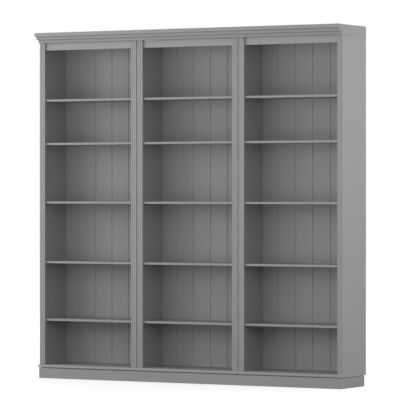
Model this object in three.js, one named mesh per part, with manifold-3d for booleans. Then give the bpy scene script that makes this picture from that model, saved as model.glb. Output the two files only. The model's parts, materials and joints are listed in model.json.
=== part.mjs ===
// A tall painted bookcase of three equal bays whose middle bay is a concealed door.
// The middle bay is a rigid leaf. It turns on two hidden pivots near its left edge,
// over a plinth and under a cornice that both run unbroken across all three bays.
// Millimetres. X runs to the right, the open front faces -Y and Z is up.
// The origin is on the floor, under the middle of the whole bookcase.

import * as THREE from 'three';
import { mergeVertices } from 'three/addons/utils/BufferGeometryUtils.js';
import Module from 'manifold-3d';

const wasm = await Module();
wasm.setup();

// Overall
const overallHeight = 2200;
const bayWidth = 717;
const carcassDepth = 317;
const doorGap = 5;

// Gaps and overruns
const glueLine = 0.3;
const cutOverrun = 5;

// Boards
const sideThickness = 18;
const topThickness = 18;
const shelfThickness = 14;
const backThickness = 12;
const rearInset = 18;
const housingDepth = 6;

// Shelves, as shares of the clear height between the floor of a bay and its frieze
const shelfHeightShares = [0.1425, 0.3258, 0.5157, 0.7022, 0.8405];

// Stiles: the fluted strips on the front edges
const stileWidth = 38.5;
const stileThickness = 14;
const stileEase = 1.2;
const fluteRadius = 3;
const flutePlaceShares = [0.3, 0.7];

// Frieze rail over each opening
const friezeHeight = 47;
const friezeThickness = 18;

// Tongued back boards with a V joint
const backBoardWidth = 122.4;
const firstBackBoardWidth = 104;
const vGrooveWidth = 6;
const vGrooveDepth = 3;
const narrowestBackBoard = 20;

// Sill: the bottom board with its moulded nosing
const sillThickness = 19;
const nosingProjection = 17;
const nosingRoundDepth = 12;
const nosingRoundHeight = 11;
const nosingChamfer = 3;

// Plinth
const plinthHeight = 65;
const shadowLine = 3;
const shadowDepth = 6;
const plinthProjection = 12;
const plinthThickness = 18;
const plinthEndInset = 3;
const plinthRearInset = 17;

// Cornice
const corniceHeight = 62;
const corniceProjection = 63;
const corniceLipHeight = 8;
const corniceLipProjection = 15;
const lowCoveHeight = 11.5;
const lowCoveDepth = 10;
const midFilletHeight = 3;
const highCoveHeight = 16.5;
const highCoveDepth = 10;
const soffitDepth = 13;
const crownEase = 1.5;
const corniceBoardThickness = 18;
const headerThickness = 22;

// Swing of the leaf
const pivotFromEdge = 65;
const pivotFromFace = 20;
const headClearance = 3;
const hingeClearance = 1;
const latchClearance = 2.5;
const nosingSeam = 1.5;
const nosingClearance = 0.3;

// Pivot hardware
const pivotPlateLength = 70;
const pivotPlateWidth = 40;
const pivotPlateThickness = 2.4;
const pivotPlateCorner = 6;
const pivotPlateFromFace = 15;
const pinRadius = 5;
const pinLength = 9;
const upperPinLength = 20;
const pinClearance = 0.15;
const socketPlateThickness = 4;
const socketBossRadius = 12;
const socketBossHeight = 5.4;
const bushRadius = 10;
const bushFlangeRadius = 17;
const bushFlangeThickness = 3;
const pivotBlockWidth = 84;
const pivotBlockDepth = 90;
const pivotBlockHeight = 55;
const roundSides = 32;

// Catch and stops
const magnetRadius = 10;
const magnetDepth = 10;
const catchFromEdge = 90;
const catchFromFace = 70;
const strikeLength = 46;
const strikeWidth = 26;
const strikeThickness = 2;
const strikeCorner = 5;
const bufferRadius = 11;
const bufferFromRear = 30;
const bufferHeightShares = [0.2, 0.8];

// Levels and planes that follow from the sizes above
const bayPitch = bayWidth + doorGap;
const overallWidth = bayWidth + 2 * bayPitch;
const halfWidth = overallWidth / 2;
const halfBay = bayWidth / 2;
const stileFace = (corniceProjection - carcassDepth) / 2;
const carcassFront = stileFace + stileThickness + glueLine;
const rearFace = stileFace + carcassDepth;
const backFront = rearFace - rearInset - backThickness;
const carcassBottom = plinthHeight + shadowLine;
const sillTop = carcassBottom + sillThickness;
const carcassTop = overallHeight - corniceHeight;
const leafTop = carcassTop - headClearance;
const friezeBottom = carcassTop - friezeHeight;
const clearHeight = friezeBottom - sillTop;

// The leaf's pivot line, and the two circles that every point of the leaf stays inside
const pivotX = pivotFromEdge - halfBay;
const pivotY = stileFace + pivotFromFace;
const hingeRadius = pivotFromEdge + doorGap - hingeClearance;
const latchRadius = bayWidth - pivotFromEdge + doorGap - latchClearance;

// Colours from the photograph
const paint = new THREE.MeshStandardMaterial({ color: 0x9d9b99, roughness: 0.55, metalness: 0 });
const bareWood = new THREE.MeshStandardMaterial({ color: 0xb89a72, roughness: 0.8, metalness: 0 });
const steel = new THREE.MeshStandardMaterial({ color: 0x9a9ca0, roughness: 0.4, metalness: 1 });
const brass = new THREE.MeshStandardMaterial({ color: 0xa88948, roughness: 0.45, metalness: 1 });
const magnetSteel = new THREE.MeshStandardMaterial({ color: 0xb9bcc0, roughness: 0.3, metalness: 1 });
const rubber = new THREE.MeshStandardMaterial({ color: 0x2b2b2b, roughness: 0.9, metalness: 0 });

// Adds one named piece, with a material of its own, to a group
function addPiece(group, name, material, geometry) {
  const mesh = new THREE.Mesh(geometry, material.clone());
  mesh.name = name;
  group.add(mesh);
  return mesh;
}

// A flat board between two opposite corners
function addBoard(group, name, material, { left, right, front, rear, low, high }) {
  const geometry = new THREE.BoxGeometry(right - left, rear - front, high - low);
  const mesh = addPiece(group, name, material, geometry);
  mesh.position.set((left + right) / 2, (front + rear) / 2, (low + high) / 2);
  return mesh;
}

// Outline helper: a closed shape through corner points
function outline(points) {
  return new THREE.Shape(points.map(([a, b]) => new THREE.Vector2(a, b)));
}

function extruded(shape, length, steps = 6) {
  return new THREE.ExtrudeGeometry(shape, { depth: length, bevelEnabled: false, curveSegments: steps });
}

// A plan outline in X and Y, standing between two heights
function standing(shape, low, high, steps) {
  return extruded(shape, high - low, steps).translate(0, 0, low);
}

// A moulding: a profile in Y and Z, run from left to right
function moulding(shape, left, right, steps) {
  const alongX = new THREE.Matrix4().makeBasis(
    new THREE.Vector3(0, 1, 0),
    new THREE.Vector3(0, 0, 1),
    new THREE.Vector3(1, 0, 0),
  );
  return extruded(shape, right - left, steps).applyMatrix4(alongX).translate(left, 0, 0);
}

// A face outline in X and Z, run from front to rear
function facing(shape, front, rear) {
  const alongY = new THREE.Matrix4().makeBasis(
    new THREE.Vector3(1, 0, 0),
    new THREE.Vector3(0, 0, 1),
    new THREE.Vector3(0, -1, 0),
  );
  return extruded(shape, rear - front).applyMatrix4(alongY).translate(0, rear, 0);
}

// An upright round bar between two heights
function roundBar(radius, x, y, low, high) {
  const bar = new THREE.CylinderGeometry(radius, radius, high - low, roundSides);
  return bar.rotateX(Math.PI / 2).translate(x, y, (low + high) / 2);
}

function block(left, right, front, rear, low, high) {
  const box = new THREE.BoxGeometry(right - left, rear - front, high - low);
  return box.translate((left + right) / 2, (front + rear) / 2, (low + high) / 2);
}

// Booleans
function toSolid(geometry) {
  const bare = geometry.clone();
  bare.deleteAttribute('normal');
  bare.deleteAttribute('uv');
  const merged = mergeVertices(bare);
  return new wasm.Manifold(new wasm.Mesh({
    numProp: 3,
    vertProperties: new Float32Array(merged.attributes.position.array),
    triVerts: new Uint32Array(merged.index.array),
  }));
}

function toGeometry(solid) {
  const mesh = solid.getMesh();
  const geometry = new THREE.BufferGeometry();
  geometry.setAttribute('position', new THREE.BufferAttribute(mesh.vertProperties, 3));
  geometry.setIndex(new THREE.BufferAttribute(mesh.triVerts, 1));
  geometry.computeVertexNormals();
  return geometry;
}

function cut(geometry, tools) {
  const solid = tools.reduce((rest, tool) => rest.subtract(toSolid(tool)), toSolid(geometry));
  return toGeometry(solid);
}

function join(geometries) {
  const solid = geometries.map(toSolid).reduce((sum, next) => sum.add(next));
  return toGeometry(solid);
}

// A flat plate with round corners, seen from above
function platePlan(centreX, front, length, width, corner) {
  const left = centreX - length / 2;
  const right = centreX + length / 2;
  const rear = front + width;
  const shape = new THREE.Shape();
  shape.moveTo(left + corner, front);
  shape.lineTo(right - corner, front);
  shape.absarc(right - corner, front + corner, corner, -Math.PI / 2, 0, false);
  shape.lineTo(right, rear - corner);
  shape.absarc(right - corner, rear - corner, corner, 0, Math.PI / 2, false);
  shape.lineTo(left + corner, rear);
  shape.absarc(left + corner, rear - corner, corner, Math.PI / 2, Math.PI, false);
  shape.lineTo(left, front + corner);
  shape.absarc(left + corner, front + corner, corner, Math.PI, 3 * Math.PI / 2, false);
  return shape;
}

// The heights of the shelves' middles
const shelfLevels = shelfHeightShares.map((share) => sillTop + share * clearHeight);

// The swing of the leaf
// How far left or right a point at depth y may lie and still clear the fixed bays
function hingeReach(y) {
  return pivotX - Math.sqrt(hingeRadius ** 2 - (y - pivotY) ** 2);
}

function latchReach(y) {
  return pivotX + Math.sqrt(latchRadius ** 2 - (y - pivotY) ** 2);
}

// The leaf's closing side is canted: flush behind the stile, and in by this much at the rear
const leafCant = halfBay - Math.min(halfBay, latchReach(rearFace));
const leafSlope = leafCant / (rearFace - carcassFront);
const cantedThickness = sideThickness * Math.hypot(1, leafSlope);

// The right side's outer and inner faces at depth y, in a bay's own frame
function rightOuter(isLeaf, y) {
  return isLeaf ? halfBay - leafSlope * (y - carcassFront) : halfBay;
}

function rightInner(isLeaf, y) {
  return rightOuter(isLeaf, y) - (isLeaf ? cantedThickness : sideThickness);
}

// Side boards
// Each shelf sits in a housing, a groove across the side's inner face
function housingNotches(innerX, towardsOuter) {
  const half = shelfThickness / 2 + glueLine;
  const bottom = innerX + towardsOuter * (housingDepth + glueLine);
  return shelfLevels.flatMap((level) => [
    [innerX, level - half],
    [bottom, level - half],
    [bottom, level + half],
    [innerX, level + half],
  ]);
}

function straightSide(outerX, innerX, low, high) {
  const towardsOuter = Math.sign(outerX - innerX);
  const face = outline([
    [outerX, high],
    [outerX, low],
    [innerX, low],
    ...housingNotches(innerX, towardsOuter),
    [innerX, high],
  ]);
  return facing(face, carcassFront, rearFace);
}

function cantedSide(low, high) {
  const plan = outline([
    [rightInner(true, carcassFront), carcassFront],
    [rightOuter(true, carcassFront), carcassFront],
    [rightOuter(true, rearFace), rearFace],
    [rightInner(true, rearFace), rearFace],
  ]);
  const housings = shelfLevels.map((level) => standing(
    shelfPlan(true, glueLine, cutOverrun),
    level - shelfThickness / 2 - glueLine,
    level + shelfThickness / 2 + glueLine,
  ));
  return cut(standing(plan, low, high), housings);
}

// Shelf plan: both ends reach into the housings; grow widens it, and overrun lengthens it
function shelfPlan(isLeaf, grow = 0, overrun = 0) {
  const front = carcassFront - overrun;
  const rear = backFront - glueLine + overrun;
  const left = -halfBay + sideThickness - housingDepth - grow;
  const right = (y) => rightInner(isLeaf, y) + housingDepth + grow;
  return outline([
    [left, front],
    [right(front), front],
    [right(rear), rear],
    [left, rear],
  ]);
}

// A board that fills a bay between its two sides
function betweenSides(isLeaf, front, rear) {
  const left = -halfBay + sideThickness + glueLine;
  const right = (y) => rightInner(isLeaf, y) - glueLine;
  return outline([
    [left, front],
    [right(front), front],
    [right(rear), rear],
    [left, rear],
  ]);
}

// Stile: a flat strip with eased front corners and two hollow flutes
function stilePlan(left) {
  const right = left + stileWidth;
  const rear = stileFace + stileThickness;
  const shape = new THREE.Shape();
  shape.moveTo(left + stileEase, stileFace);
  for (const share of flutePlaceShares) {
    const centre = left + share * stileWidth;
    shape.lineTo(centre - fluteRadius, stileFace);
    shape.absarc(centre, stileFace, fluteRadius, Math.PI, 0, true);
  }
  shape.lineTo(right - stileEase, stileFace);
  shape.lineTo(right, stileFace + stileEase);
  shape.lineTo(right, rear);
  shape.lineTo(left, rear);
  shape.lineTo(left, stileFace + stileEase);
  return shape;
}

// Back: upright boards jointed with a V, seen as grooves on the front
function backPlan(isLeaf) {
  const left = -halfBay + sideThickness + glueLine;
  const rear = backFront + backThickness;
  const rightFront = rightInner(isLeaf, backFront) - glueLine;
  const rightRear = rightInner(isLeaf, rear) - glueLine;
  const points = [[left, rear], [left, backFront]];
  let joint = -halfBay + sideThickness + firstBackBoardWidth;
  while (joint < rightFront - narrowestBackBoard) {
    points.push([joint - vGrooveWidth / 2, backFront]);
    points.push([joint, backFront + vGrooveDepth]);
    points.push([joint + vGrooveWidth / 2, backFront]);
    joint += backBoardWidth;
  }
  points.push([rightFront, backFront], [rightRear, rear]);
  return outline(points);
}

// Sill: one board whose moulded front runs across the feet of the sides
function sillProfile() {
  const nose = stileFace - nosingProjection;
  const shape = new THREE.Shape();
  shape.moveTo(rearFace, carcassBottom);
  shape.lineTo(rearFace, sillTop);
  shape.lineTo(nose + nosingRoundDepth, sillTop);
  shape.absellipse(
    nose + nosingRoundDepth, sillTop - nosingRoundHeight,
    nosingRoundDepth, nosingRoundHeight,
    Math.PI / 2, Math.PI, false, 0,
  );
  shape.lineTo(nose, carcassBottom + nosingChamfer);
  shape.lineTo(nose + nosingChamfer, carcassBottom);
  return shape;
}

// Ends of a nosing: each is a line in plan from the stile face out to the nose
function sillEnds(bay) {
  const nose = stileFace - nosingProjection;
  const mitre = [hingeReach(stileFace), hingeReach(nose)];
  if (bay === 'left') {
    const leftBayMitre = mitre.map((x) => x + bayPitch - nosingSeam);
    return { left: [-halfBay, -halfBay], right: leftBayMitre };
  }
  if (bay === 'door') {
    return { left: mitre, right: [halfBay, halfBay] };
  }
  const seamEnd = latchReach(stileFace) + nosingClearance - bayPitch;
  return { left: [seamEnd, seamEnd], right: [halfBay, halfBay] };
}

function sillGeometry(bay) {
  const isLeaf = bay === 'door';
  const ends = sillEnds(bay);
  const nose = stileFace - nosingProjection;
  const outLeft = Math.min(...ends.left, -halfBay) - cutOverrun;
  const outRight = Math.max(...ends.right, halfBay) + cutOverrun;
  const low = carcassBottom - cutOverrun;
  const high = sillTop + cutOverrun;
  const inLeft = -halfBay + sideThickness + glueLine;
  const inRight = (y) => rightInner(isLeaf, y) - glueLine;
  const past = rearFace + cutOverrun;
  const beyond = nose - cutOverrun;
  // Towards the nose, each end follows its line in plan, carried on past the nose
  const endAt = ([atFace, atNose]) => atNose + (atNose - atFace) * cutOverrun / nosingProjection;
  const leftWaste = outline([
    [outLeft, past],
    [outLeft, beyond],
    [endAt(ends.left), beyond],
    [ends.left[0], stileFace],
    [-halfBay, stileFace],
    [-halfBay, carcassFront - glueLine],
    [inLeft, carcassFront - glueLine],
    [inLeft, past],
  ]);
  const rightWaste = outline([
    [outRight, past],
    [inRight(past), past],
    [inRight(carcassFront - glueLine), carcassFront - glueLine],
    [halfBay, carcassFront - glueLine],
    [halfBay, stileFace],
    [ends.right[0], stileFace],
    [endAt(ends.right), beyond],
    [outRight, beyond],
  ]);
  const board = moulding(sillProfile(), outLeft + glueLine, outRight - glueLine);
  return cut(board, [standing(leftWaste, low, high), standing(rightWaste, low, high)]);
}

// One bay: a carcass with a fluted stile on each front edge and a frieze between them
function makeBay(bay, centreX) {
  const group = new THREE.Group();
  group.position.x = centreX;
  const isLeaf = bay === 'door';
  const top = isLeaf ? leafTop : carcassTop;
  const innerTop = top - topThickness;
  const left = -halfBay;
  const innerLeft = left + sideThickness;

  const leftSide = straightSide(left, innerLeft, carcassBottom, top);
  const rightSide = isLeaf
    ? cantedSide(carcassBottom, top)
    : straightSide(halfBay, halfBay - sideThickness, carcassBottom, top);
  addPiece(group, `${bay}_side_left`, paint, leftSide);
  addPiece(group, `${bay}_side_right`, paint, rightSide);
  addPiece(group, `${bay}_sill`, paint, sillGeometry(bay));

  const friezeRear = carcassFront + friezeThickness;
  const topPlan = betweenSides(isLeaf, friezeRear + glueLine, rearFace);
  addPiece(group, `${bay}_top_board`, paint, standing(topPlan, innerTop, top));
  const friezePlan = betweenSides(isLeaf, carcassFront, friezeRear);
  addPiece(group, `${bay}_frieze_rail`, paint, standing(friezePlan, friezeBottom, top));

  const backBoards = standing(backPlan(isLeaf), sillTop + glueLine, innerTop - glueLine);
  addPiece(group, `${bay}_back_boards`, paint, backBoards);

  shelfLevels.forEach((level, index) => {
    const low = level - shelfThickness / 2;
    const shelf = standing(shelfPlan(isLeaf), low, low + shelfThickness);
    addPiece(group, `${bay}_shelf_${index + 1}`, paint, shelf);
  });

  const stileLow = sillTop + glueLine;
  addPiece(group, `${bay}_stile_left`, paint, standing(stilePlan(left), stileLow, top, 3));
  const rightStile = standing(stilePlan(halfBay - stileWidth), stileLow, top, 3);
  addPiece(group, `${bay}_stile_right`, paint, rightStile);
  return group;
}

// Plinth: a fixed frame on the floor under all three bays
function makePlinth() {
  const group = new THREE.Group();
  const end = halfWidth - plinthEndInset;
  const front = stileFace - plinthProjection;
  const frontRear = front + plinthThickness;
  const frameFront = frontRear + glueLine;
  const frameRear = rearFace - plinthRearInset;
  const backFace = frameRear - plinthThickness;
  const seat = carcassBottom - glueLine;

  addBoard(group, 'plinth_front', paint, {
    left: -end, right: end, front, rear: frontRear, low: 0, high: plinthHeight,
  });
  // Each end has a step along its top outer edge, which carries the shadow line round the corner
  const endFace = (outer, inner) => outline([
    [outer, 0],
    [inner, 0],
    [inner, seat],
    [outer + Math.sign(inner - outer) * shadowDepth, seat],
    [outer + Math.sign(inner - outer) * shadowDepth, plinthHeight],
    [outer, plinthHeight],
  ]);
  const leftEnd = facing(endFace(-end, -end + plinthThickness), frameFront, frameRear);
  const rightEnd = facing(endFace(end, end - plinthThickness), frameFront, frameRear);
  addPiece(group, 'plinth_end_left', paint, leftEnd);
  addPiece(group, 'plinth_end_right', paint, rightEnd);
  const innerEnd = end - plinthThickness - glueLine;
  addBoard(group, 'plinth_back', paint, {
    left: -innerEnd, right: innerEnd, front: backFace, rear: frameRear, low: 0, high: plinthHeight,
  });
  // A joist under each side that stands next to the leaf
  const joist = { front: frameFront, rear: backFace - glueLine, low: 0, high: seat };
  const joistInner = halfBay + doorGap;
  addBoard(group, 'joist_left', bareWood, {
    left: -joistInner - plinthThickness, right: -joistInner, ...joist,
  });
  addBoard(group, 'joist_right', bareWood, {
    left: joistInner, right: joistInner + plinthThickness, ...joist,
  });
  addBoard(group, 'pivot_block', bareWood, {
    left: pivotX - pivotBlockWidth / 2,
    right: pivotX + pivotBlockWidth / 2,
    front: frameFront,
    rear: frameFront + pivotBlockDepth,
    low: 0,
    high: pivotBlockHeight,
  });
  return group;
}

// Cornice moulding: lip, low cove, fillet, high cove and crown, from the bottom up
function corniceProfile() {
  const out = (distance) => stileFace - distance;
  const lipTop = carcassTop + corniceLipHeight;
  const lowCoveOut = corniceLipProjection + lowCoveDepth;
  const lowCoveTop = lipTop + lowCoveHeight;
  const filletTop = lowCoveTop + midFilletHeight;
  const highCoveTop = filletTop + highCoveHeight;
  const highCoveOut = corniceProjection - soffitDepth;
  const filletOut = highCoveOut - highCoveDepth;
  const shape = new THREE.Shape();
  shape.moveTo(stileFace, carcassTop);
  shape.lineTo(stileFace, overallHeight);
  shape.lineTo(out(corniceProjection - crownEase), overallHeight);
  shape.lineTo(out(corniceProjection), overallHeight - crownEase);
  shape.lineTo(out(corniceProjection), highCoveTop);
  shape.lineTo(out(highCoveOut), highCoveTop);
  shape.absellipse(
    out(highCoveOut), filletTop, highCoveDepth, highCoveHeight,
    Math.PI / 2, 0, true, 0,
  );
  shape.lineTo(out(filletOut), lowCoveTop);
  shape.lineTo(out(lowCoveOut), lowCoveTop);
  shape.absellipse(
    out(lowCoveOut), lipTop, lowCoveDepth, lowCoveHeight,
    Math.PI / 2, 0, true, 0,
  );
  shape.lineTo(out(corniceLipProjection), carcassTop);
  return shape;
}

// Cornice: the moulding, and a frame of boards round a header that ties the fixed bays
function makeCornice() {
  const group = new THREE.Group();
  const seat = carcassTop + glueLine;
  const front = stileFace + glueLine;
  const innerEnd = halfWidth - corniceBoardThickness - glueLine;
  const headerTop = seat + headerThickness;
  addPiece(group, 'cornice_moulding', paint, moulding(corniceProfile(), -halfWidth, halfWidth, 5));
  const sideBoard = { front, rear: rearFace, low: seat, high: overallHeight };
  addBoard(group, 'cornice_side_left', paint, {
    left: -halfWidth, right: -halfWidth + corniceBoardThickness, ...sideBoard,
  });
  addBoard(group, 'cornice_side_right', paint, {
    left: halfWidth - corniceBoardThickness, right: halfWidth, ...sideBoard,
  });
  addBoard(group, 'cornice_back', paint, {
    left: -innerEnd,
    right: innerEnd,
    front: rearFace - corniceBoardThickness,
    rear: rearFace,
    low: headerTop + glueLine,
    high: overallHeight,
  });
  const header = block(-innerEnd, innerEnd, front, rearFace, seat, headerTop);
  const bushHole = roundBar(bushRadius + glueLine, pivotX, pivotY, seat - cutOverrun, headerTop + cutOverrun);
  const magnetHole = roundBar(
    magnetRadius + glueLine, catchX, catchY, seat - cutOverrun, seat + magnetDepth + glueLine,
  );
  addPiece(group, 'header_board', paint, cut(header, [bushHole, magnetHole]));
  return group;
}

// Lower pivot: a socket on the fixed block, and a plate with a pin under the leaf
function lowerSocketGeometry() {
  const base = pivotBlockHeight + glueLine;
  const plateTop = base + socketPlateThickness;
  const bossTop = plateTop + socketBossHeight;
  const front = pivotY - socketBossRadius;
  const plate = standing(
    platePlan(pivotX, front, pivotPlateLength, pivotPlateWidth, pivotPlateCorner), base, plateTop, 3,
  );
  const boss = roundBar(socketBossRadius, pivotX, pivotY, plateTop - glueLine, bossTop);
  const bore = roundBar(pinRadius + pinClearance, pivotX, pivotY, base - cutOverrun, bossTop + cutOverrun);
  return cut(join([plate, boss]), [bore]);
}

function lowerPinGeometry() {
  const high = carcassBottom - glueLine;
  const low = high - pivotPlateThickness;
  const front = pivotY - pivotPlateFromFace + pinRadius;
  const plate = standing(
    platePlan(pivotX, front, pivotPlateLength, pivotPlateWidth, pivotPlateCorner), low, high, 3,
  );
  const pin = roundBar(pinRadius, pivotX, pivotY, low - pinLength, low + glueLine);
  return join([plate, pin]);
}

// Upper pivot: a plate with a pin on the leaf, and a flanged bush let into the header
function upperPinGeometry() {
  const low = leafTop + glueLine;
  const high = low + pivotPlateThickness;
  const plate = standing(
    platePlan(pivotX, carcassFront, pivotPlateLength, pivotPlateWidth, pivotPlateCorner), low, high, 3,
  );
  const pin = roundBar(pinRadius, pivotX, pivotY, high - glueLine, high + upperPinLength);
  return join([plate, pin]);
}

function bushGeometry() {
  const low = carcassTop + glueLine;
  const flangeLow = low + headerThickness + glueLine;
  const flangeHigh = flangeLow + bushFlangeThickness;
  const inner = pinRadius + pinClearance;
  const profile = [
    new THREE.Vector2(inner, low),
    new THREE.Vector2(bushRadius, low),
    new THREE.Vector2(bushRadius, flangeLow),
    new THREE.Vector2(bushFlangeRadius, flangeLow),
    new THREE.Vector2(bushFlangeRadius, flangeHigh),
    new THREE.Vector2(inner, flangeHigh),
    new THREE.Vector2(inner, low),
  ];
  return new THREE.LatheGeometry(profile, roundSides).rotateX(Math.PI / 2).translate(pivotX, pivotY, 0);
}

// Catch: a round magnet in the header's underside, over a steel strike on the leaf
const catchX = halfBay - catchFromEdge;
const catchY = stileFace + catchFromFace;

function magnetGeometry() {
  const low = carcassTop + glueLine;
  return roundBar(magnetRadius, catchX, catchY, low, low + magnetDepth);
}

function strikeGeometry() {
  const low = leafTop + glueLine;
  const plan = platePlan(catchX, catchY - strikeWidth / 2, strikeLength, strikeWidth, strikeCorner);
  return standing(plan, low, low + strikeThickness, 3);
}

// Buffers: rubber discs on the left bay, which the leaf's hinge side rests against when shut
function bufferGeometry(height) {
  const thickness = doorGap - 2 * glueLine;
  const disc = new THREE.CylinderGeometry(bufferRadius, bufferRadius, thickness, roundSides);
  const x = -halfBay - doorGap / 2;
  return disc.rotateZ(Math.PI / 2).translate(x, rearFace - bufferFromRear, height);
}

function makeHardware() {
  const group = new THREE.Group();
  addPiece(group, 'lower_pivot_socket', steel, lowerSocketGeometry());
  addPiece(group, 'lower_pivot_pin', steel, lowerPinGeometry());
  addPiece(group, 'upper_pivot_pin', steel, upperPinGeometry());
  addPiece(group, 'upper_pivot_bush', brass, bushGeometry());
  addPiece(group, 'catch_magnet', magnetSteel, magnetGeometry());
  addPiece(group, 'catch_strike', steel, strikeGeometry());
  const [lowHeight, highHeight] = bufferHeightShares.map((share) => sillTop + share * clearHeight);
  addPiece(group, 'stop_buffer_lower', rubber, bufferGeometry(lowHeight));
  addPiece(group, 'stop_buffer_upper', rubber, bufferGeometry(highHeight));
  return group;
}

const bookcase = new THREE.Group();
bookcase.add(makePlinth());
bookcase.add(makeBay('left', -bayPitch));
bookcase.add(makeBay('door', 0));
bookcase.add(makeBay('right', bayPitch));
bookcase.add(makeCornice());
bookcase.add(makeHardware());

export default bookcase;
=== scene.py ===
# The finished look of a hidden door bookcase: three painted bays on one plinth and
# under one cornice. The middle bay is the door, and it turns on two hidden pivots.
# Metres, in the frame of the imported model: X to the right, the open front faces -Y.

import json
import math
import random

import bmesh
import bpy
from mathutils import Matrix, Vector

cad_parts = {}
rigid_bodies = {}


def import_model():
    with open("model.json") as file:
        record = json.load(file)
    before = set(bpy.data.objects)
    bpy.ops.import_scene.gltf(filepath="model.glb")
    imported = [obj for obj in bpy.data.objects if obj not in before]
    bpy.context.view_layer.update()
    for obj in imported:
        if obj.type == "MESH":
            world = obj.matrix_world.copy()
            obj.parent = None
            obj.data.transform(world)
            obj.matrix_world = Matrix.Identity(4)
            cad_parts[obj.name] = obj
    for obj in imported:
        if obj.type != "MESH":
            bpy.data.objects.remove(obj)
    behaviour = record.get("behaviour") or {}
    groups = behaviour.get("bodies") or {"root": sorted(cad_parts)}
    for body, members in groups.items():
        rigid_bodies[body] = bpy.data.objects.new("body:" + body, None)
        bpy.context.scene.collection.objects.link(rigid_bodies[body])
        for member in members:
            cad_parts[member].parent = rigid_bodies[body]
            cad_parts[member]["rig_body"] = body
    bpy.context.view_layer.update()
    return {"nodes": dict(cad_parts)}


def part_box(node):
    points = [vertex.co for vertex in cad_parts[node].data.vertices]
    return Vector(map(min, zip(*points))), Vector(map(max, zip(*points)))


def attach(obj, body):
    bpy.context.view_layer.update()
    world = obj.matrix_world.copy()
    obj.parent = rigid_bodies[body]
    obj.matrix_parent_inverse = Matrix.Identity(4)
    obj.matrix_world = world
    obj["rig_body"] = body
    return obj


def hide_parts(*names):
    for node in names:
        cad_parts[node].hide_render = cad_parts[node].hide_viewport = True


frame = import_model()

MM = 0.001
X = Vector((1, 0, 0))
Y = Vector((0, 1, 0))
Z = Vector((0, 0, 1))

BAYS = ("left", "door", "right")
FIXED_BAYS = ("left", "right")
SHELVES = range(1, 6)

# Joinery
MERGE_DISTANCE = 0.01 * MM
FLAT_ANGLE = math.radians(0.5)
CORNER_ANGLE = math.radians(32)
SMOOTH_ANGLE = math.radians(38)
NEARLY_ALONG = 0.99
EASE_SEGMENTS = 3
BOARD_EASE = 0.9 * MM
FRONT_EDGE_EASE = 1.6 * MM
FINE_EASE = 0.4 * MM
STILE_EASE = 1.2 * MM
FLUTE_RADIUS = 2.6 * MM
FLUTE_PLACES = (0.3, 0.7)
FLUTE_STEPS = 10
COVE_STEPS = 12

# Back boards: tongued planks with a V joint on the face
FIRST_PLANK = 104 * MM
PLANK = 122.4 * MM
NARROWEST_PLANK = 20 * MM
SIDE_THICKNESS = 18 * MM
V_DEPTH = 3 * MM
REAR_V_DEPTH = 0.8 * MM
JOINT_SLIT = 0.06 * MM
TONGUE_LOW = 4.8 * MM
TONGUE_HIGH = 8.2 * MM
TONGUE_LENGTH = 4.3 * MM
TONGUE_PLAY = 0.3 * MM

# Cornice moulding, as distances out from the stiles and heights above its foot
CORNICE_LIP_OUT = 15 * MM
CORNICE_LIP_HEIGHT = 8 * MM
LOW_COVE_OUT = 10 * MM
LOW_COVE_HEIGHT = 11.5 * MM
FILLET_HEIGHT = 3 * MM
HIGH_COVE_OUT = 10 * MM
HIGH_COVE_HEIGHT = 16.5 * MM
SOFFIT_DEPTH = 13 * MM
CROWN_EASE = 1.5 * MM

# Pivots, catch and buffers
PLATE_EASE = 0.35 * MM
SOCKET_PLATE = 4 * MM
PIN_PLATE = 2.4 * MM
PLATE_SCREW_SPREAD = 27 * MM
PLATE_SCREW_INSET = 8 * MM
STRIKE_SCREW_SPREAD = 16 * MM
CUP_RIM = 1.4 * MM
CUP_SLOPE = 0.5 * MM
CUP_DEPTH = 0.7 * MM
CORE_SLOPE = 0.3 * MM
CORE_RISE = 0.5 * MM
BUFFER_EASE = 0.8 * MM

# Countersunk screws: radii of the heads, and how the boards' screws are set in
PLATE_SCREW = 3.6 * MM
STRIKE_SCREW = PLATE_SCREW * 0.8
BOARD_SCREW = 4.2 * MM
HEADER_SCREW_INSET = 40 * MM
HEADER_SCREW_REAR_INSET = 70 * MM
JOIST_SCREW_INSET = 18 * MM

# The shape of a screw head and its countersink, as shares of the head's radius
HEAD_SIDES = 20
HEAD_SINK = 0.05 * MM
HEAD_DEPTH = 0.5
HEAD_FOOT = 0.5
HEAD_RIM = 0.26
RECESS_REACH = 0.8
RECESS_ARM = 0.13
RECESS_SHARE_OF_DEPTH = 0.7
CUT_TOLERANCE = MERGE_DISTANCE * 0.01
COUNTERSINK_FOOT = 0.5
COUNTERSINK_MOUTH = 1.55
COUNTERSINK_DROP = 0.02

# Nails of the backs; they stray by up to so many millimetres across and up
NAIL_HEAD = 2.3 * MM
NAIL_CROWN = 0.6
NAIL_PROUD = 0.4 * MM
NAIL_SIDES = 10
NAIL_STRAY_ACROSS = 2
NAIL_STRAY_UP = 1.5

# Glue blocks inside the cornice
BLOCKS_IN_A_ROW = 6
BLOCK_LENGTH = 60 * MM
BLOCK_SPACING = 355 * MM
BLOCK_LEG = 26 * MM
BLOCK_HEIGHT = 34 * MM

# The thin fillet on top of the leaf
HEAD_FILLET_CLEARANCE = 0.4 * MM
HEAD_FILLET_SET_BACK = 0.5 * MM
HEAD_FILLET_DEPTH = 12 * MM
HEAD_FILLET_GAP = 0.3 * MM

# Tones of the boards, as shares of the paint's brightness
BOARD_TONE = 0.012
PLANK_TONE = 0.016
BLOCK_TONE = 0.05
tones = random.Random(11)

# Painted light and shade: boards found by a word in their names are painted darker or lighter
# than the rest, for how light falls on them (plinth near the floor and cornice darker, frieze
# under the cornice lighter)
PAINTED_SHADES = {
    "shelf": -0.04,
    "plinth_front": -0.04,
    "plinth_end": -0.10,
    "cornice_moulding": -0.07,
    "cornice_side": -0.02,
    "frieze": 0.055,
    "stile": 0.025,
}

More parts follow.
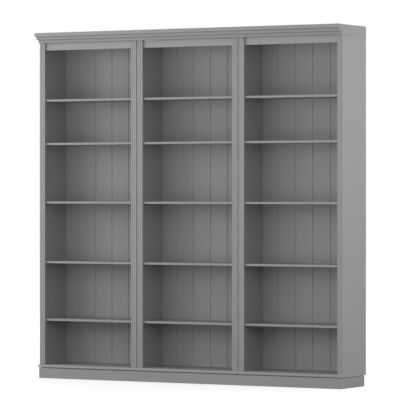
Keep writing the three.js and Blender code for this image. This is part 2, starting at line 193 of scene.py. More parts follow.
# Colours, linear
PAINT_GREY = (0.317, 0.307, 0.3025)
PAINT_THIN = (0.368, 0.357, 0.346)
PINE_PALE = (0.56, 0.40, 0.235)
PINE_DARK = (0.40, 0.24, 0.115)
ZINC = (0.53, 0.535, 0.55)
DULL_ZINC = (0.40, 0.40, 0.41)
BRASS = (0.60, 0.43, 0.17)
DULL_BRASS = (0.42, 0.28, 0.11)
NICKEL = (0.63, 0.62, 0.60)
DULL_NICKEL = (0.50, 0.49, 0.47)
MAGNET_CORE = (0.075, 0.074, 0.075)
DULL_MAGNET_CORE = (0.05, 0.05, 0.052)
RUBBER = (0.022, 0.022, 0.023)
RUBBER_BLOOM = 2.1

# Where most of a noise's values lie
MIDDLE_VALUES = (0.3, 0.7)
WIDE_VALUES = (0.25, 0.75)

# Satin paint: scales of its noises, and how far each moves shade and roughness
BRUSH_STRETCH = 0.035
BRUSH_GRAIN = 420
BRUSH_STROKES = 120
PAINT_CLOUDS = 2.2
PAINT_STIPPLE = 1500
WEAR_PATCHES = 38
WEAR_VALUES = (0.42, 0.62)
CLOUD_SHADE = 0.022
STROKE_SHADE = 0.012
GRAIN_SHADES = (-0.012, 0.008)
PAINT_ROUGHNESS = (0.5, 0.58)
STROKE_ROUGHNESS = 0.04
WEAR_POLISH = 0.12
WEAR_MOST = 0.55
GRAIN_HEIGHT = 0.6
STIPPLE_HEIGHT = 0.25
BRUSH_RELIEF = 0.12 * MM

# Planed pine: rings to the metre, scales of its noises, and where in a ring late wood lies
PINE_FIBRE_STRETCH = 0.05
PINE_RING_STRETCH = 0.02
PINE_RINGS = 260
PINE_DRIFT = 9
PINE_DRIFT_SIZE = 0.012
PINE_FIBRE = 900
FIBRE_SHADES = (0.9, 1.06)
LATE_WOOD = (0.35, 0.95)
LATE_WOOD_HEIGHT = 0.4
PINE_ROUGHNESS = (0.76, 0.62)
PINE_RELIEF = 0.15 * MM

# Metal: scales of its patches and marks, and how far they move its roughness
METAL_PATCHES = 260
METAL_MARKS = 2600
METAL_MARKS_STRETCH = 0.06
DULL_VALUES = (0.42, 0.68)
BRIGHT_PATCH_SMOOTHER = 0.06
DULL_PATCH_ROUGHER = 0.1
MARK_ROUGHNESS = 0.03
METAL_RELIEF = 0.02 * MM

# Rubber: scales of its patches and pores, and where its bloom lies
RUBBER_PATCHES = 170
RUBBER_PORES = 2400
BLOOM_VALUES = (0.4, 0.7)
BLOOM_MOST = 0.8
RUBBER_ROUGHNESS = (0.78, 0.9)
RUBBER_RELIEF = 0.05 * MM

# Floor: what the camera sees, what it throws back, and its glow near the case and away
FLOOR_SIZE = 30
FLOOR_COLOUR = (0.46, 0.46, 0.46)
FLOOR_BOUNCE = (0.25, 0.25, 0.25)
FLOOR_NEAR = 1.8
FLOOR_FAR = 4.5
FLOOR_GLOW_NEAR = 0.66
FLOOR_GLOW_FAR = 0.73

# Light
ROOM_LIGHT = 0.639
MIDDLE = (0.0, 0.0, 1.1)
RIGHT_SIDE = (1.08, 0.1, 1.9)
LEFT_BAY = (-0.5, 0.0, 1.7)
CEILING = (0.0, 0.0, 1000.0)

# Name, place, what it points at, size across and up, strength in watts
LAMPS = (
    ("left front", (-4.5, -5.0, 2.1), MIDDLE, 3.0, 2.0, 56),
    ("left near", (-3.4, -2.3, 2.3), LEFT_BAY, 1.2, 1.2, 17),
    ("front low", (-0.5, -6.0, 1.1), MIDDLE, 3.0, 2.0, 25),
    ("right front", (4.5, -5.0, 2.1), MIDDLE, 3.0, 2.0, 47),
    ("right side", (3.2, 0.3, 1.9), RIGHT_SIDE, 1.0, 1.0, 20),
    ("left side", (-6.5, -1.5, 1.2), MIDDLE, 3.0, 2.0, 69),
    ("behind", (-1.5, 9.0, 4.0), MIDDLE, 4.0, 3.0, 239),
    ("floor card near", (0.0, -3.5, 0.05), CEILING, 5.0, 2.5, 27),
    ("floor card far", (0.0, -6.5, 0.05), CEILING, 7.0, 3.0, 121),
)

# Camera: place in metres, turn about the vertical and dip below level in degrees
CAMERA_PLACE = (8.7186, -15.5349, 1.1895)
CAMERA_TURN = 29.239
CAMERA_DIP = 0.166
CAMERA_LENS = 256.7
CAMERA_SENSOR = 36
CAMERA_REACH = 200


# Finishes

class Finish:
    """A node material built up step by step on one Principled shader."""

    def __init__(self, name, roughness=0.5, metallic=0.0):
        self.material = bpy.data.materials.new(name)
        self.material.use_nodes = True
        self.tree = self.material.node_tree
        self.tree.nodes.clear()
        self.shader = self.tree.nodes.new("ShaderNodeBsdfPrincipled")
        self.shader.inputs["Roughness"].default_value = roughness
        self.shader.inputs["Metallic"].default_value = metallic
        self.output = self.tree.nodes.new("ShaderNodeOutputMaterial")
        self.tree.links.new(self.shader.outputs["BSDF"], self.output.inputs["Surface"])
        self.place = self.tree.nodes.new("ShaderNodeTexCoord").outputs["Object"]

    def put(self, value, socket):
        """Sets a socket to a value, or joins another socket to it."""
        if isinstance(value, bpy.types.NodeSocket):
            self.tree.links.new(value, socket)
        else:
            socket.default_value = value

    def mapped(self, scale, shift=(0, 0, 0)):
        """The object's own coordinates, scaled and then shifted."""
        node = self.tree.nodes.new("ShaderNodeMapping")
        node.inputs["Location"].default_value = shift
        node.inputs["Scale"].default_value = scale
        self.tree.links.new(self.place, node.inputs["Vector"])
        return node.outputs["Vector"]

    def noise(self, scale, vector=None, detail=2.0, roughness=0.5):
        node = self.tree.nodes.new("ShaderNodeTexNoise")
        node.inputs["Scale"].default_value = scale
        node.inputs["Detail"].default_value = detail
        node.inputs["Roughness"].default_value = roughness
        self.put(vector or self.place, node.inputs["Vector"])
        return node.outputs["Fac"]

    def math(self, kind, first, second=0.0):
        node = self.tree.nodes.new("ShaderNodeMath")
        node.operation = kind
        self.put(first, node.inputs[0])
        self.put(second, node.inputs[1])
        return node.outputs["Value"]

    def spread(self, value, low, high, start=0.0, end=1.0):
        """Maps a value from start..end to low..high, and stops at both."""
        node = self.tree.nodes.new("ShaderNodeMapRange")
        self.put(value, node.inputs["Value"])
        node.inputs["From Min"].default_value = start
        node.inputs["From Max"].default_value = end
        node.inputs["To Min"].default_value = low
        node.inputs["To Max"].default_value = high
        return node.outputs["Result"]

    def mixed(self, factor, first, second):
        node = self.tree.nodes.new("ShaderNodeMix")
        node.data_type = "RGBA"
        self.put(factor, node.inputs[0])
        self.put(first, node.inputs[6])
        self.put(second, node.inputs[7])
        return node.outputs[2]

    def dimmed(self, colour, share):
        """A colour times a share, which may vary over the surface."""
        node = self.tree.nodes.new("ShaderNodeVectorMath")
        node.operation = "SCALE"
        self.put(colour, node.inputs[0])
        self.put(share, node.inputs["Scale"])
        return node.outputs["Vector"]

    def length(self, vector):
        node = self.tree.nodes.new("ShaderNodeVectorMath")
        node.operation = "LENGTH"
        self.put(vector, node.inputs[0])
        return node.outputs["Value"]

    def read(self, name):
        """A number that the faces carry, by its name."""
        node = self.tree.nodes.new("ShaderNodeAttribute")
        node.attribute_name = name
        return node.outputs["Fac"]

    def colour(self, value):
        self.put(value, self.shader.inputs["Base Color"])

    def rough(self, value):
        self.put(value, self.shader.inputs["Roughness"])

    def relief(self, height, distance, strength):
        node = self.tree.nodes.new("ShaderNodeBump")
        node.inputs["Distance"].default_value = distance
        node.inputs["Strength"].default_value = strength
        self.tree.links.new(height, node.inputs["Height"])
        self.tree.links.new(node.outputs["Normal"], self.shader.inputs["Normal"])


def opaque(colour):
    return (*colour, 1.0)


def drawn_out(along, share):
    """A scale that stretches a noise along one axis."""
    return tuple(share if axis else 1.0 for axis in along)


def brushed_paint(name, along):
    """Satin furniture paint, brushed along the board over a faint grain."""
    finish = Finish(name)
    brushed = finish.mapped(drawn_out(along, BRUSH_STRETCH))
    grain = finish.noise(BRUSH_GRAIN, brushed, detail=4, roughness=0.6)
    strokes = finish.noise(BRUSH_STROKES, brushed, detail=2)
    clouds = finish.noise(PAINT_CLOUDS, detail=3)
    stipple = finish.noise(PAINT_STIPPLE, detail=1)
    cloud_shade = finish.spread(clouds, -CLOUD_SHADE, CLOUD_SHADE, *MIDDLE_VALUES)
    stroke_shade = finish.spread(strokes, -STROKE_SHADE, STROKE_SHADE, *WIDE_VALUES)
    grain_shade = finish.spread(grain, *GRAIN_SHADES, *MIDDLE_VALUES)
    shade = finish.math("ADD", 1.0, cloud_shade)
    shade = finish.math("ADD", shade, stroke_shade)
    shade = finish.math("ADD", shade, grain_shade)
    # each board's random tone, plus the painted shade or painted light that some boards carry
    shade = finish.math("ADD", shade, finish.read("tone_and_painted_shade"))
    coat = finish.dimmed(PAINT_GREY, shade)
    patches = finish.noise(WEAR_PATCHES, brushed, detail=3)
    thin = finish.spread(patches, 0.0, WEAR_MOST, *WEAR_VALUES)
    thin = finish.math("MULTIPLY", thin, finish.read("worn"))
    finish.colour(finish.mixed(thin, coat, opaque(PAINT_THIN)))
    cloud_rough = finish.spread(clouds, *PAINT_ROUGHNESS, *MIDDLE_VALUES)
    stroke_rough = finish.spread(strokes, -STROKE_ROUGHNESS, STROKE_ROUGHNESS, *WIDE_VALUES)
    rough = finish.math("ADD", cloud_rough, stroke_rough)
    polish = finish.math("MULTIPLY", thin, WEAR_POLISH)
    finish.rough(finish.math("SUBTRACT", rough, polish))
    height = finish.math("MULTIPLY", grain, GRAIN_HEIGHT)
    height = finish.math("ADD", height, finish.math("MULTIPLY", stipple, STIPPLE_HEIGHT))
    finish.relief(finish.math("ADD", height, strokes), BRUSH_RELIEF, strength=0.7)
    return finish.material


def bare_pine(name, along, pith):
    """Planed softwood: rings round a pith line beside the board, and fine fibres."""
    finish = Finish(name)
    fibres = finish.mapped(drawn_out(along, PINE_FIBRE_STRETCH))
    to_pith = tuple(-value for value in pith)
    from_pith = finish.mapped(drawn_out(along, PINE_RING_STRETCH), to_pith)
    drift = finish.noise(PINE_DRIFT, fibres, detail=2)
    drift = finish.spread(drift, -PINE_DRIFT_SIZE, PINE_DRIFT_SIZE)
    distance = finish.math("ADD", finish.length(from_pith), drift)
    rings = finish.math("FRACT", finish.math("MULTIPLY", distance, PINE_RINGS))
    late = finish.spread(rings, 0.0, 1.0, *LATE_WOOD)
    fibre = finish.noise(PINE_FIBRE, fibres, detail=3)
    wood = finish.mixed(late, opaque(PINE_PALE), opaque(PINE_DARK))
    shade = finish.spread(fibre, *FIBRE_SHADES, *WIDE_VALUES)
    shade = finish.math("ADD", shade, finish.read("tone_and_painted_shade"))
    finish.colour(finish.dimmed(wood, shade))
    finish.rough(finish.spread(late, *PINE_ROUGHNESS))
    height = finish.math("ADD", finish.math("MULTIPLY", late, LATE_WOOD_HEIGHT), fibre)
    finish.relief(height, PINE_RELIEF, strength=0.8)
    return finish.material


def plated(name, bright, dulled, roughness):
    """Plated or turned metal with fine tool marks, dulled in patches."""
    finish = Finish(name, metallic=1.0)
    patches = finish.noise(METAL_PATCHES, detail=3)
    marks = finish.noise(METAL_MARKS, finish.mapped(drawn_out(Y, METAL_MARKS_STRETCH)), detail=2)
    dull = finish.spread(patches, 0.0, 1.0, *DULL_VALUES)
    finish.colour(finish.mixed(dull, opaque(bright), opaque(dulled)))
    patch_rough = finish.spread(patches, roughness - BRIGHT_PATCH_SMOOTHER,
                                roughness + DULL_PATCH_ROUGHER, *MIDDLE_VALUES)
    mark_rough = finish.spread(marks, -MARK_ROUGHNESS, MARK_ROUGHNESS)
    finish.rough(finish.math("ADD", patch_rough, mark_rough))
    finish.relief(marks, METAL_RELIEF, strength=0.6)
    return finish.material


def moulded_rubber(name):
    """Soft black rubber with a pale bloom and fine pores."""
    finish = Finish(name)
    patches = finish.noise(RUBBER_PATCHES, detail=3)
    pores = finish.noise(RUBBER_PORES, detail=1)
    grey = tuple(value * RUBBER_BLOOM for value in RUBBER)
    bloom = finish.spread(patches, 0.0, BLOOM_MOST, *BLOOM_VALUES)
    finish.colour(finish.mixed(bloom, opaque(RUBBER), opaque(grey)))
    finish.rough(finish.spread(patches, *RUBBER_ROUGHNESS, *MIDDLE_VALUES))
    finish.relief(pores, RUBBER_RELIEF, strength=0.6)
    return finish.material


paint_level = brushed_paint("satin paint, level boards", X)
paint_upright = brushed_paint("satin paint, upright boards", Z)
paint_deep = brushed_paint("satin paint, front to back", Y)
pine_deep = bare_pine("planed pine, front to back", Y, pith=(0.39, 0, 0.11))
pine_level = bare_pine("planed pine, left to right", X, pith=(0, -0.16, 0.1))
pine_upright = bare_pine("planed pine, upright", Z, pith=(0.02, 0.07, 0))
zinc_steel = plated("zinc plated steel", ZINC, DULL_ZINC, roughness=0.36)
turned_brass = plated("turned brass", BRASS, DULL_BRASS, roughness=0.33)
nickel_cup = plated("nickel plated cup", NICKEL, DULL_NICKEL, roughness=0.26)
magnet_core = plated("pressed magnet", MAGNET_CORE, DULL_MAGNET_CORE, roughness=0.55)
rubber = moulded_rubber("moulded rubber")


# Making and placing pieces

def marked(bm):
    """Lets the faces of a piece of work carry their tone, with any painted shade, and how worn
    they are.
    """
    bm.faces.layers.float.new("tone_and_painted_shade")
    bm.faces.layers.float.new("worn")
    return bm


def new_work():
    """An empty piece of work."""
    return marked(bmesh.new())


def painted_shade_of(node):
    """How much painted shade (below 0) or painted light (above 0) a board carries, by the words
    in its name.
    """
    return sum(shade for word, shade in PAINTED_SHADES.items() if word in node)


def give_tone(bm, faces, size=BOARD_TONE, shade=0.0):
    """Gives faces one tone: a random part within a size, on both sides of a painted shade or
    painted light.
    """
    tone_and_painted_shade = bm.faces.layers.float["tone_and_painted_shade"]
    value = shade + tones.uniform(-size, size)
    for face in faces:
        face[tone_and_painted_shade] = value


def ease(bm, edges, width):
    """Rounds edges over, and marks the new faces as ones that hands wear."""
    made = bmesh.ops.bevel(bm, geom=edges, offset=width, offset_type="OFFSET",
                           affect="EDGES", segments=EASE_SEGMENTS, profile=0.5, material=-1,
                           clamp_overlap=True)
    worn = bm.faces.layers.float["worn"]
    for face in made["faces"]:
        face[worn] = 1.0


def corners(bm, keep=None):
    """The edges where two faces meet at a corner, and that pass the test keep."""
    found = []
    for edge in bm.edges:
        if len(edge.link_faces) == 2 and edge.calc_face_angle(0) > CORNER_ANGLE:
            if keep is None or keep(edge):
                found.append(edge)
    return found


def runs(axis):
    """A test for edges that run along an axis."""
    def test(edge):
        way = (edge.verts[1].co - edge.verts[0].co).normalized()
        return abs(way.dot(axis)) > NEARLY_ALONG
    return test


def runs_in_front(node):
    """A test for the long edges at the front of a board."""
    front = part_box(node)[0].y
    lengthwise = runs(X)

    def test(edge):
        first, second = edge.verts
        return lengthwise(edge) and (first.co.y + second.co.y) / 2 < front + MM
    return test


def add_piece(name, bm, body, finishes, stands_for=()):
    """Makes the work a piece that rides on a body and stands for CAD nodes."""
    mesh = bpy.data.meshes.new(name)
    bm.to_mesh(mesh)
    bm.free()
    for polygon in mesh.polygons:
        polygon.use_smooth = True
    mesh.set_sharp_from_angle(angle=SMOOTH_ANGLE)
    for finish in finishes:
        mesh.materials.append(finish)
    piece = bpy.data.objects.new(name, mesh)
    bpy.context.scene.collection.objects.link(piece)
    even = piece.modifiers.new("even shading", "WEIGHTED_NORMAL")
    even.keep_sharp = True
    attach(piece, body)
    if stands_for:
        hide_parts(*stands_for)


def body_of(node):
    return frame["nodes"][node]["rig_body"]


def copied(node):
    """A copy of a CAD board as clean work: merged, and flat faces made whole."""
    bm = bmesh.new()
    bm.from_mesh(frame["nodes"][node].data)
    marked(bm)
    bmesh.ops.remove_doubles(bm, verts=bm.verts, dist=MERGE_DISTANCE)
    bmesh.ops.dissolve_limit(bm, angle_limit=FLAT_ANGLE, verts=bm.verts, edges=bm.edges)
    # the board's random tone, plus its painted shade or painted light by name
    give_tone(bm, bm.faces, shade=painted_shade_of(node))
    return bm


def eased_piece(node, finish, prefix, width, keep=None):
    """A copied CAD piece with its edges rounded over."""
    bm = copied(node)
    ease(bm, corners(bm, keep), width)
    add_piece(f"{prefix}_{node}", bm, body_of(node), [finish], [node])


def painted_board(node, finish, width=BOARD_EASE, keep=None, prefix="painted"):
    eased_piece(node, finish, prefix, width, keep)


class Section:
    """A cross-section drawn corner by corner, then run along its board."""

    def __init__(self, bm, axis, start):
        self.bm = bm
        self.axis = axis
        self.first = bm.verts.new(start)
        self.last = self.first
        self.edges = []

    def line(self, *points):
        for point in points:
            vert = self.bm.verts.new(point)
            self.edges.append(self.bm.edges.new((self.last, vert)))
            self.last = vert

    def arc(self, centre, degrees, steps, squash=(1, 1, 1)):
        """Spins the last corner round a centre; squash makes the arc elliptical."""
        known_verts = set(self.bm.verts)
        known_edges = set(self.bm.edges)
        made = bmesh.ops.spin(self.bm, geom=[self.last], cent=centre, axis=self.axis,
                              dvec=(0, 0, 0), angle=math.radians(degrees), steps=steps,
                              use_merge=False, use_normal_flip=False, use_duplicate=False)
        ends = [part for part in made["geom_last"] if isinstance(part, bmesh.types.BMVert)]
        self.last = ends[0]
        fresh = [vert for vert in self.bm.verts if vert not in known_verts]
        to_centre = Matrix.Translation(-Vector(centre))
        bmesh.ops.scale(self.bm, vec=squash, space=to_centre, verts=fresh)
        self.edges += [edge for edge in self.bm.edges if edge not in known_edges]

    def run(self, length):
        """Closes the section and runs it along its axis."""
        self.edges.append(self.bm.edges.new((self.last, self.first)))
        face = bmesh.ops.contextual_create(self.bm, geom=self.edges)["faces"]
        made = bmesh.ops.extrude_face_region(self.bm, geom=face)["geom"]
        moved = [part for part in made if isinstance(part, bmesh.types.BMVert)]
        bmesh.ops.translate(self.bm, vec=self.axis * length, verts=moved)


def close_up(bm):
    """Merges what touches and turns every face outwards."""
    bmesh.ops.remove_doubles(bm, verts=bm.verts, dist=MERGE_DISTANCE)
    bmesh.ops.recalc_face_normals(bm, faces=bm.faces)


# Bays

def make_stile(node):
    """A fluted stile with rounded arrises and two hollow flutes."""
    low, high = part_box(node)
    bm = new_work()
    section = Section(bm, Z, (low.x + STILE_EASE, low.y, low.z))
    for place in FLUTE_PLACES:
        centre = low.x + place * (high.x - low.x)
        section.line((centre - FLUTE_RADIUS, low.y, low.z))
        section.arc((centre, low.y, low.z), -180, FLUTE_STEPS)
    section.line((high.x - STILE_EASE, low.y, low.z))
    section.arc((high.x - STILE_EASE, low.y + STILE_EASE, low.z), 90, EASE_SEGMENTS + 1)
    section.line((high.x, high.y, low.z), (low.x, high.y, low.z))
    section.line((low.x, low.y + STILE_EASE, low.z))
    section.arc((low.x + STILE_EASE, low.y + STILE_EASE, low.z), 90, EASE_SEGMENTS + 1)
    section.run(high.z - low.z)
    close_up(bm)
    # the stile's random tone, plus its painted light by name
    give_tone(bm, bm.faces, shade=painted_shade_of(node))
    worn = bm.faces.layers.float["worn"]
    for face in bm.faces:
        at = face.calc_center_median()
        if min(at.x - low.x, high.x - at.x) < STILE_EASE and at.y < low.y + STILE_EASE:
            face[worn] = 1.0
    add_piece(f"fluted_{node}", bm, body_of(node), [paint_upright], [node])


def plank_outline(left, right_front, right_rear, front, rear, grooved, tongued):
    """Corners of one plank in plan, going round from its left face corner."""
    near_left = left + JOINT_SLIT
    near_right = right_front - JOINT_SLIT
    points = []
    if grooved:
        points += [(near_left, front + V_DEPTH), (left + V_DEPTH, front)]
    else:
        points += [(left, front)]
    if tongued:
        points += [
            (right_front - V_DEPTH, front),
            (near_right, front + V_DEPTH),
            (near_right, front + TONGUE_LOW),
            (right_front + TONGUE_LENGTH, front + TONGUE_LOW),
            (right_front + TONGUE_LENGTH, front + TONGUE_HIGH),
            (near_right, front + TONGUE_HIGH),
            (near_right, rear - REAR_V_DEPTH),
            (near_right - REAR_V_DEPTH, rear),
        ]
    else:
        points += [(right_front, front), (right_rear, rear)]
    if grooved:
        groove = left + TONGUE_LENGTH + TONGUE_PLAY
        points += [
            (near_left + REAR_V_DEPTH, rear),
            (near_left, rear - REAR_V_DEPTH),
            (near_left, front + TONGUE_HIGH + TONGUE_PLAY),
            (groove, front + TONGUE_HIGH + TONGUE_PLAY),
            (groove, front + TONGUE_LOW - TONGUE_PLAY),
            (near_left, front + TONGUE_LOW - TONGUE_PLAY),
        ]
    else:
        points += [(left, rear)]
    return points


def first_joint(bay):
    """Where the first plank of a bay's back ends."""
    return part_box(f"{bay}_side_left")[0].x + SIDE_THICKNESS + FIRST_PLANK


def make_back(bay):
    """The tongued back of one bay, plank by plank."""
    node = f"{bay}_back_boards"
    low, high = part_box(node)
    verts = frame["nodes"][node].data.vertices
    right_front = max(v.co.x for v in verts if v.co.y < low.y + MERGE_DISTANCE)
    right_rear = max(v.co.x for v in verts if v.co.y > high.y - MERGE_DISTANCE)
    joints = []
    joint = first_joint(bay)
    while joint < right_front - NARROWEST_PLANK:
        joints.append(joint)
        joint += PLANK
    lefts = [low.x] + joints
    rights = [(joint, joint) for joint in joints] + [(right_front, right_rear)]
    bm = new_work()
    for index, (left, right) in enumerate(zip(lefts, rights)):
        known = set(bm.faces)
        outline = plank_outline(left, *right, low.y, high.y, index > 0, index < len(joints))
        section = Section(bm, Z, (*outline[0], low.z))
        section.line(*[(x, y, low.z) for x, y in outline[1:]])
        section.run(high.z - low.z)
        give_tone(bm, [face for face in bm.faces if face not in known], PLANK_TONE)
    bmesh.ops.recalc_face_normals(bm, faces=bm.faces)
    add_piece(f"tongued_{node}", bm, body_of(node), [paint_upright], [node])


def make_bay(bay):
    for side in ("left", "right"):
        make_stile(f"{bay}_stile_{side}")
        painted_board(f"{bay}_side_{side}", paint_upright, keep=runs(Z))
    painted_board(f"{bay}_sill", paint_level, FINE_EASE, prefix="moulded")
    painted_board(f"{bay}_top_board", paint_level)
    painted_board(f"{bay}_frieze_rail", paint_level, keep=runs(X))
    for number in SHELVES:
        shelf = f"{bay}_shelf_{number}"
        painted_board(shelf, paint_level, FRONT_EDGE_EASE, runs_in_front(shelf))
    make_back(bay)


# Plinth and cornice

def make_plinth():
    """The plinth's front and ends, with the joists and the block that it hides."""
    painted_board("plinth_front", paint_level)
    for side in ("left", "right"):
        painted_board(f"plinth_end_{side}", paint_deep)
    for side in ("left", "right"):
        eased_piece(f"joist_{side}", pine_deep, "planed", BOARD_EASE)
    eased_piece("pivot_block", pine_level, "planed", BOARD_EASE)


def make_cornice_boards():
    for side in ("left", "right"):
        painted_board(f"cornice_side_{side}", paint_deep)
    painted_board("cornice_back", paint_level)


def make_cornice_moulding():
    """The moulding: lip, low cove, fillet, high cove and crown, run in one length."""
    node = "cornice_moulding"
    low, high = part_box(node)

    def at(out, height):
        return Vector((low.x, high.y - out, height))

    lip_top = low.z + CORNICE_LIP_HEIGHT
    low_cove_out = CORNICE_LIP_OUT + LOW_COVE_OUT
    low_cove_top = lip_top + LOW_COVE_HEIGHT
    fillet_top = low_cove_top + FILLET_HEIGHT
    crown_out = high.y - low.y
    high_cove_out = crown_out - SOFFIT_DEPTH
    high_cove_top = fillet_top + HIGH_COVE_HEIGHT
    fillet_out = high_cove_out - HIGH_COVE_OUT
    low_cove = (1, 1, LOW_COVE_HEIGHT / LOW_COVE_OUT)
    high_cove = (1, 1, HIGH_COVE_HEIGHT / HIGH_COVE_OUT)
    bm = new_work()
    section = Section(bm, X, at(0, low.z))
    section.line(at(CORNICE_LIP_OUT, low.z), at(CORNICE_LIP_OUT, lip_top))
    section.arc(at(low_cove_out, lip_top), 90, COVE_STEPS, low_cove)
    section.line(at(fillet_out, low_cove_top), at(fillet_out, fillet_top))
    section.arc(at(high_cove_out, fillet_top), 90, COVE_STEPS, high_cove)
    section.line(at(crown_out, high_cove_top), at(crown_out, high.z - CROWN_EASE))
    section.arc(at(crown_out - CROWN_EASE, high.z - CROWN_EASE), -90, EASE_SEGMENTS)
    section.line(at(0, high.z))
    section.run(high.x - low.x)
    close_up(bm)
    # the moulding's random tone, plus its painted shade by name
    give_tone(bm, bm.faces, shade=painted_shade_of(node))
    ease(bm, corners(bm), FINE_EASE)
    add_piece(f"run_{node}", bm, body_of(node), [paint_level], [node])


# Screws

def fresh_verts(bm, known):
    return [vert for vert in bm.verts if vert not in known]


def set_down(bm, verts, place, facing):
    """Turns what was made facing up so that it faces the given way, at its place."""
    turn = Z.rotation_difference(facing).to_matrix().to_4x4()
    bmesh.ops.transform(bm, matrix=Matrix.Translation(place) @ turn, verts=verts)


def linked(name, bm):
    """Work as an object in the scene, for a modifier to use."""
    mesh = bpy.data.meshes.new(name)
    bm.to_mesh(mesh)
    bm.free()
    part = bpy.data.objects.new(name, mesh)
    bpy.context.scene.collection.objects.link(part)
    return part


def countersunk(bm, places, facing, radius):
    """Cuts countersinks into a piece of work, and gives back the work that is left."""
    cutter = bmesh.new()
    for place in places:
        known = set(cutter.verts)
        bmesh.ops.create_cone(cutter, cap_ends=True, segments=HEAD_SIDES,
                              radius1=radius * COUNTERSINK_FOOT,
                              radius2=radius * COUNTERSINK_MOUTH, depth=radius)
        verts = fresh_verts(cutter, known)
        bmesh.ops.translate(cutter, vec=Z * -radius * COUNTERSINK_DROP, verts=verts)
        set_down(cutter, verts, place, facing)
    blank = linked("blank", bm)
    holes = linked("countersinks", cutter)
    sink = blank.modifiers.new("sink", "BOOLEAN")
    sink.operation = "DIFFERENCE"
    sink.solver = "EXACT"
    sink.object = holes
    depsgraph = bpy.context.evaluated_depsgraph_get()
    result = bmesh.new()
    result.from_mesh(blank.evaluated_get(depsgraph).to_mesh())
    for part in (blank, holes):
        mesh = part.data
        bpy.data.objects.remove(part)
        bpy.data.meshes.remove(mesh)
    return result


def inner_top(bm, known, radius):
    """The faces in the middle of a new head's top."""
    found = []
    for face in bm.faces:
        if face.verts[0] in known or abs(face.calc_center_median().z) > MERGE_DISTANCE:
            continue
        if all(math.hypot(vert.co.x, vert.co.y) < radius * RECESS_REACH for vert in face.verts):
            found.append(face)
    return found


def sunk_head(bm, radius):
    """One countersunk head with a cross recess, facing up, its top at the origin."""
    known = set(bm.verts)
    depth = radius * HEAD_DEPTH
    bmesh.ops.create_cone(bm, cap_ends=True, segments=HEAD_SIDES, radius1=radius * HEAD_FOOT,
                          radius2=radius, depth=depth)
    verts = fresh_verts(bm, known)
    bmesh.ops.translate(bm, vec=Z * -depth / 2, verts=verts)
    top = max((face for vert in verts for face in vert.link_faces),
              key=lambda face: face.calc_center_median().z)
    bmesh.ops.inset_region(bm, faces=[top], thickness=radius * HEAD_RIM, use_even_offset=True)
    arm = radius * RECESS_ARM
    for way in (X, Y):
        for side in (-1, 1):
            cut = {}
            for face in inner_top(bm, known, radius):
                cut.update(dict.fromkeys([face, *face.edges, *face.verts]))
            bmesh.ops.bisect_plane(bm, geom=list(cut), plane_co=way * side * arm, plane_no=way,
                                   dist=CUT_TOLERANCE)
    recess = []
    for face in inner_top(bm, known, radius):
        at = face.calc_center_median()
        if min(abs(at.x), abs(at.y)) < arm:
            recess.append(face)
    made = bmesh.ops.extrude_face_region(bm, geom=recess)["geom"]
    bmesh.ops.delete(bm, geom=[face for face in recess if face.is_valid], context="FACES")
    floor = [part for part in made if isinstance(part, bmesh.types.BMVert)]
    bmesh.ops.translate(bm, vec=Z * -depth * RECESS_SHARE_OF_DEPTH, verts=floor)
    return fresh_verts(bm, known)


def screw_heads(name, body, places, facing, radius):
    """A piece with a screw head at each place, its recess turned at random."""
    bm = new_work()
    for place in places:
        verts = sunk_head(bm, radius)
        turn = Matrix.Rotation(tones.uniform(0, math.pi / 2), 3, "Z")
        bmesh.ops.rotate(bm, verts=verts, cent=(0, 0, 0), matrix=turn)
        set_down(bm, verts, place - facing * HEAD_SINK, facing)
    add_piece(name, bm, body, [zinc_steel])


def screwed_piece(node, finish, prefix, width, places, facing, radius):
    """A copied CAD piece with rounded edges, countersunk and held with screws."""
    bm = copied(node)
    ease(bm, corners(bm), width)
    bm = countersunk(bm, places, facing, radius)
    add_piece(f"{prefix}_{node}", bm, body_of(node), [finish], [node])
    screw_heads(f"screws_{node}", body_of(node), places, facing, radius)


def spots(xs, ys, zs):
    return [Vector((x, y, z)) for x in xs for y in ys for z in zs]


# Hardware

def make_pivot_plate(node, height, facing):
    """A pivot's plate, with four screws at the given height on it."""
    low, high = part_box(node)
    centre = (low.x + high.x) / 2
    across = (centre - PLATE_SCREW_SPREAD, centre + PLATE_SCREW_SPREAD)
    places = spots(across, (low.y + PLATE_SCREW_INSET, high.y - PLATE_SCREW_INSET), (height,))
    screwed_piece(node, zinc_steel, "plated", PLATE_EASE, places, facing,
                  PLATE_SCREW)


def make_pivots():
    """The socket and pin under the leaf, and the pin and bush over it."""
    socket = "lower_pivot_socket"
    make_pivot_plate(socket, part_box(socket)[0].z + SOCKET_PLATE, Z)
    lower_pin = "lower_pivot_pin"
    make_pivot_plate(lower_pin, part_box(lower_pin)[1].z - PIN_PLATE, -Z)
    upper_pin = "upper_pivot_pin"
    make_pivot_plate(upper_pin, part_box(upper_pin)[0].z + PIN_PLATE, Z)
    eased_piece("upper_pivot_bush", turned_brass, "turned", PLATE_EASE)


def make_catch():
    """The strike plate on the leaf, and the magnet in its cup."""
    strike = "catch_strike"
    low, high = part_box(strike)
    centre = (low.x + high.x) / 2
    across = (centre - STRIKE_SCREW_SPREAD, centre + STRIKE_SCREW_SPREAD)
    places = spots(across, ((low.y + high.y) / 2,), (high.z,))
    screwed_piece(strike, zinc_steel, "plated", PLATE_EASE, places, Z,
                  STRIKE_SCREW)
    magnet = "catch_magnet"
    bm = copied(magnet)
    face = min(bm.faces, key=lambda found: found.calc_center_median().z)
    bmesh.ops.inset_region(bm, faces=[face], thickness=CUP_RIM)
    bmesh.ops.inset_region(bm, faces=[face], thickness=CUP_SLOPE, depth=-CUP_DEPTH)
    bmesh.ops.inset_region(bm, faces=[face], thickness=CORE_SLOPE, depth=CORE_RISE)
    face.material_index = 1
    add_piece(f"cup_{magnet}", bm, body_of(magnet), [nickel_cup, magnet_core],
              [magnet])


def make_buffers():
    for place in ("lower", "upper"):
        eased_piece(f"stop_buffer_{place}", rubber, "rubber", BUFFER_EASE)


